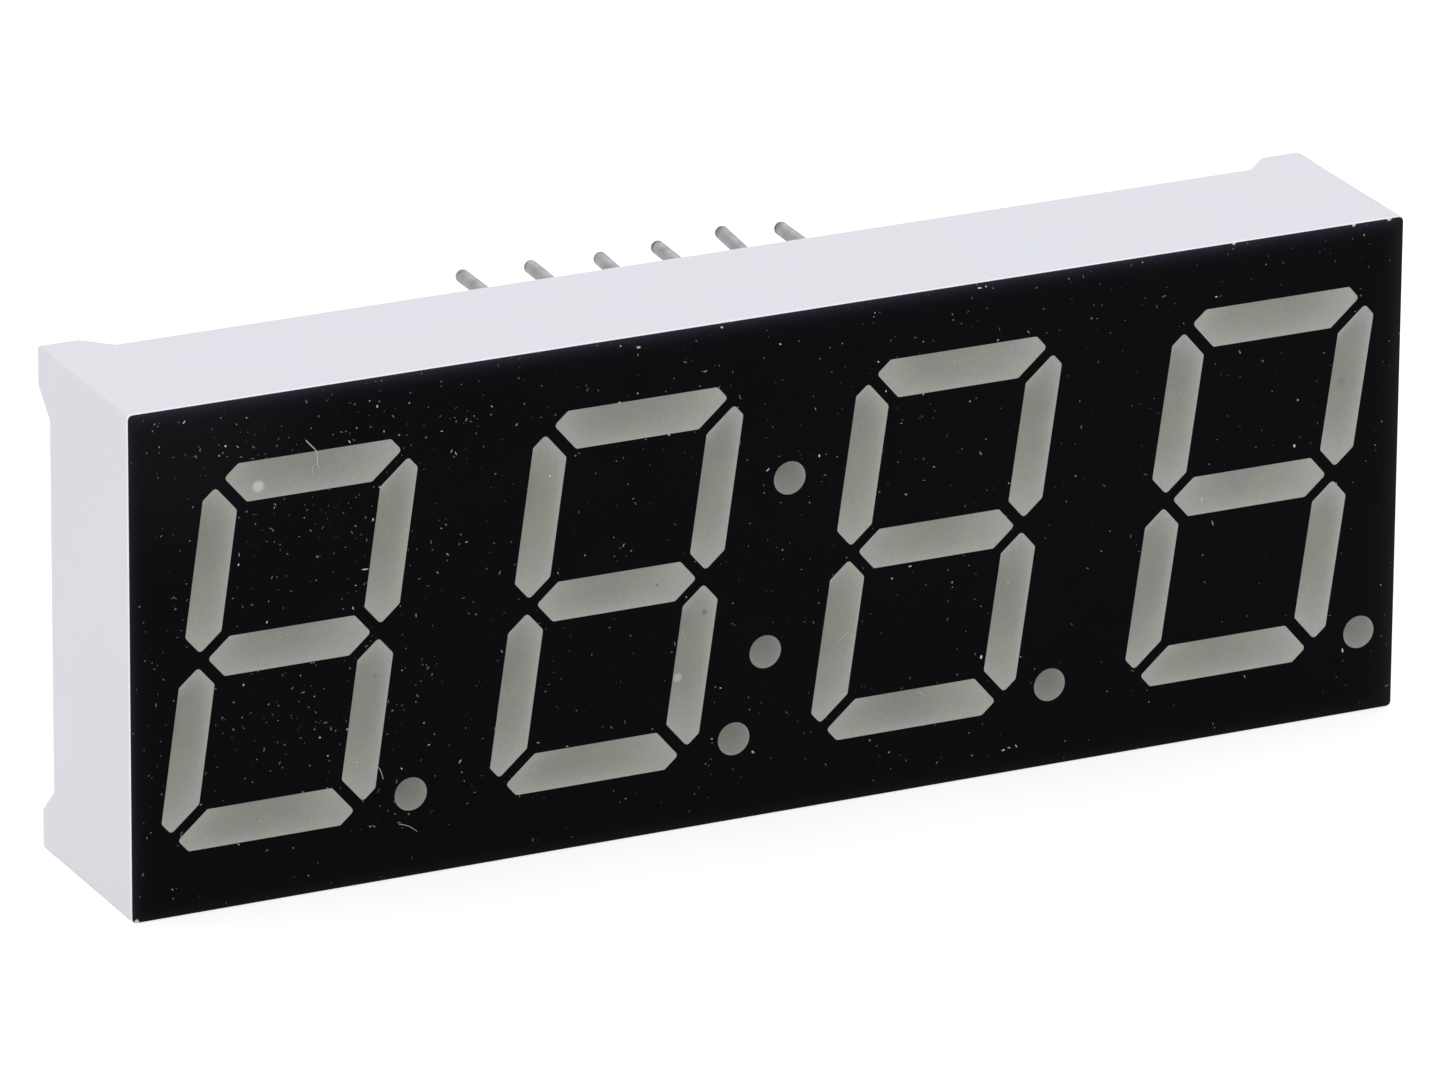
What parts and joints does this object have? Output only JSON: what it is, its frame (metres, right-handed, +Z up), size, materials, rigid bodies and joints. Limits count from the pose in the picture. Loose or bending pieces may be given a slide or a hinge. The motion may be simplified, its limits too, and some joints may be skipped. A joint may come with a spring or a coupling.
{
  "type": "seven-segment led display",
  "caption": "Clock-style LED display block: white moulded reflector, black printed face with grey resin segments, decimal points and a colon, corner feet and rows of round leads.",
  "frame": {"origin": "centre of the lead grid on the seating plane that the four feet's tips share", "axes": "+X along the digits to the reader's right, +Y from the face towards the leads, +Z up the digits; the display stands on its lower long side"},
  "size_m": [0.0502, 0.013, 0.019],
  "materials": {
    "housing_white": "moulded white polycarbonate, satin",
    "face_black": "black printed ink film, satin",
    "segment_resin": "grey diffused epoxy, cast flush",
    "dot_resin": "grey diffused epoxy, cast flush",
    "board_laminate": "glass-fibre laminate",
    "pad_gold": "gold-flashed copper",
    "chip_crystal": "light-emitting crystal",
    "wire_gold": "drawn gold",
    "lead_tin": "matt tin plating",
    "solder": "frozen solder",
    "potting_resin": "poured milky epoxy"
  },
  "bodies": {
    "root": {"reflector_housing": "housing_white", "face_print": "face_black", "digit1_segment_a": "segment_resin", "digit1_segment_b": "segment_resin", "digit1_segment_c": "segment_resin", "digit1_segment_d": "segment_resin", "digit1_segment_e": "segment_resin", "digit1_segment_f": "segment_resin", "digit1_segment_g": "segment_resin", "digit2_segment_a": "segment_resin", "digit2_segment_b": "segment_resin", "digit2_segment_c": "segment_resin", "digit2_segment_d": "segment_resin", "digit2_segment_e": "segment_resin", "digit2_segment_f": "segment_resin", "digit2_segment_g": "segment_resin", "digit3_segment_a": "segment_resin", "digit3_segment_b": "segment_resin", "digit3_segment_c": "segment_resin", "digit3_segment_d": "segment_resin", "digit3_segment_e": "segment_resin", "digit3_segment_f": "segment_resin", "digit3_segment_g": "segment_resin", "digit4_segment_a": "segment_resin", "digit4_segment_b": "segment_resin", "digit4_segment_c": "segment_resin", "digit4_segment_d": "segment_resin", "digit4_segment_e": "segment_resin", "digit4_segment_f": "segment_resin", "digit4_segment_g": "segment_resin", "digit1_decimal_point": "dot_resin", "digit2_decimal_point": "dot_resin", "digit3_decimal_point": "dot_resin", "digit4_decimal_point": "dot_resin", "colon_upper": "dot_resin", "colon_lower": "dot_resin", "circuit_board": "board_laminate", "board_pads": "pad_gold", "led_chips": "chip_crystal", "bond_wires": "wire_gold", "lead_01": "lead_tin", "lead_02": "lead_tin", "lead_03": "lead_tin", "lead_04": "lead_tin", "lead_05": "lead_tin", "lead_06": "lead_tin", "lead_07": "lead_tin", "lead_08": "lead_tin", "lead_09": "lead_tin", "lead_10": "lead_tin", "lead_11": "lead_tin", "lead_12": "lead_tin", "solder_joints": "solder", "rear_potting": "potting_resin"}
  },
  "joints": []
}
